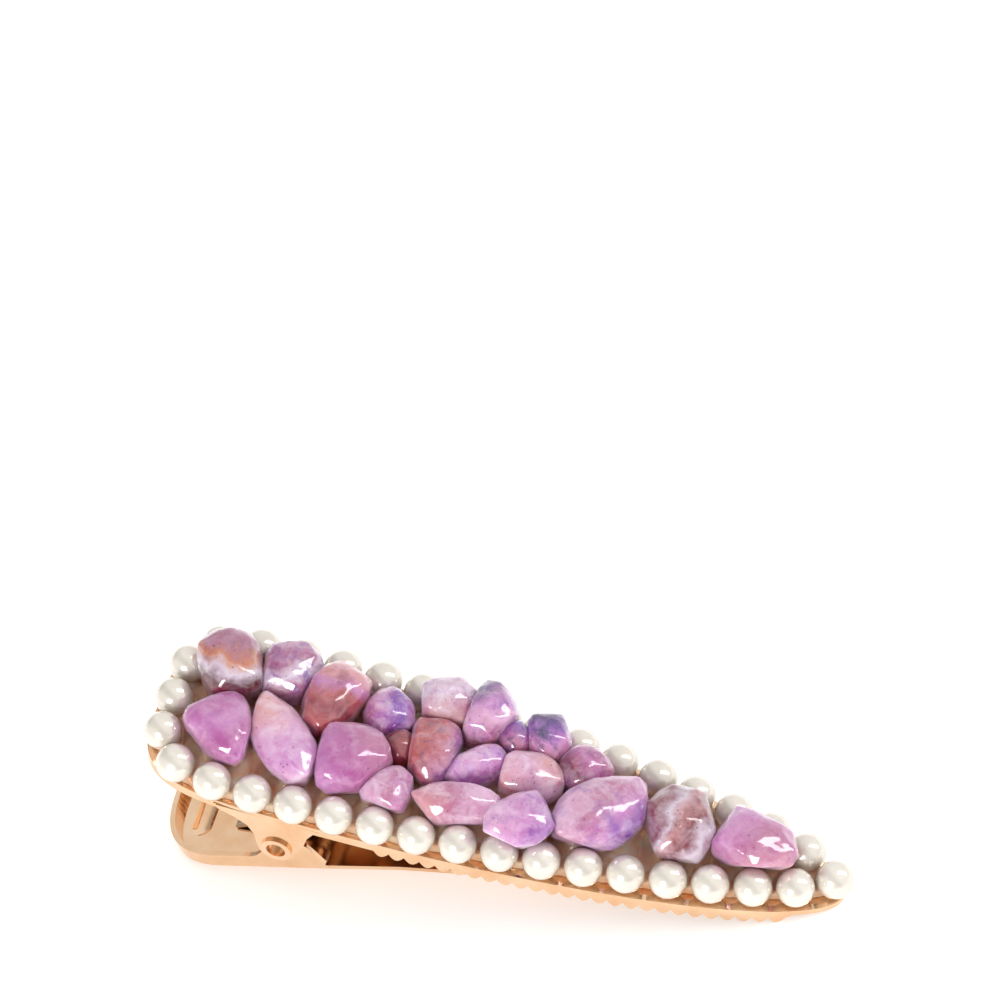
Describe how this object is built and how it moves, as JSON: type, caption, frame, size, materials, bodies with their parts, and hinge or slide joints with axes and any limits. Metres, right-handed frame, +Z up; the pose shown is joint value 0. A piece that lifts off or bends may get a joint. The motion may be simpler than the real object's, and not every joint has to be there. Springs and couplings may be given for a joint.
{
  "type": "hair clip",
  "caption": "Teardrop alligator hair clip with a serrated skirt, a sprung lever and jaw, a border of imitation pearls and tumbled amethyst chips in clear glue.",
  "frame": {"origin": "middle of the bounding box, on the surface that the clip rests on", "axes": "+X from the blunt lever end to the tip, +Y across along the pivot, +Z up; the clip lies at rest on its lever's end and its skirt's last teeth"},
  "size_m": [0.0724, 0.0214, 0.0213],
  "materials": {
    "rose_gold": "mirror-polished rose-gold plating on steel sheet",
    "spring_steel": "plated spring steel strip",
    "pearl": "pearl lacquer on a plastic bead",
    "clear_glue": "clear epoxy, amber where it is thick",
    "amethyst": "tumbled, polished",
    "amethyst_pale": "tumbled, polished",
    "amethyst_dark": "tumbled, polished",
    "amethyst_clear": "tumbled, polished",
    "amethyst_wine": "tumbled, polished"
  },
  "bodies": {
    "plate": {"top_plate": "rose_gold", "pivot_rivet": "rose_gold", "leaf_spring": "spring_steel", "glue_bed": "clear_glue", "pearl_butt": "pearl", "pearl_tip": "pearl", "pearl_pair_01": "pearl", "pearl_pair_02": "pearl", "pearl_pair_03": "pearl", "pearl_pair_04": "pearl", "pearl_pair_05": "pearl", "pearl_pair_06": "pearl", "pearl_pair_07": "pearl", "pearl_pair_08": "pearl", "pearl_pair_09": "pearl", "pearl_pair_10": "pearl", "pearl_pair_11": "pearl", "pearl_pair_12": "pearl", "pearl_pair_13": "pearl", "pearl_pair_14": "pearl", "pearl_pair_15": "pearl", "pearl_pair_16": "pearl", "pearl_pair_17": "pearl", "stone_01": "amethyst_clear", "stone_02": "amethyst_clear", "stone_03": "amethyst_wine", "stone_04": "amethyst", "stone_05": "amethyst_pale", "stone_06": "amethyst", "stone_07": "amethyst", "stone_08": "amethyst_pale", "stone_09": "amethyst_clear", "stone_10": "amethyst", "stone_11": "amethyst", "stone_12": "amethyst_pale", "stone_13": "amethyst_dark", "stone_14": "amethyst_dark", "stone_15": "amethyst_pale", "stone_16": "amethyst_dark", "stone_17": "amethyst_pale", "stone_18": "amethyst", "stone_19": "amethyst", "stone_20": "amethyst_wine", "stone_21": "amethyst", "stone_22": "amethyst"},
    "arm": {"lower_arm": "rose_gold"}
  },
  "joints": [
    {"name": "jaw_hinge", "type": "hinge", "parent": "arm", "child": "plate", "pos_m": [-0.02161, 0, 0.00711], "axis": [0, -1, 0], "range_deg": [0, 45], "stiffness_Nm_per_rad": 0.1, "springref_deg": -22.92, "deforming": ["leaf_spring"]}
  ]
}
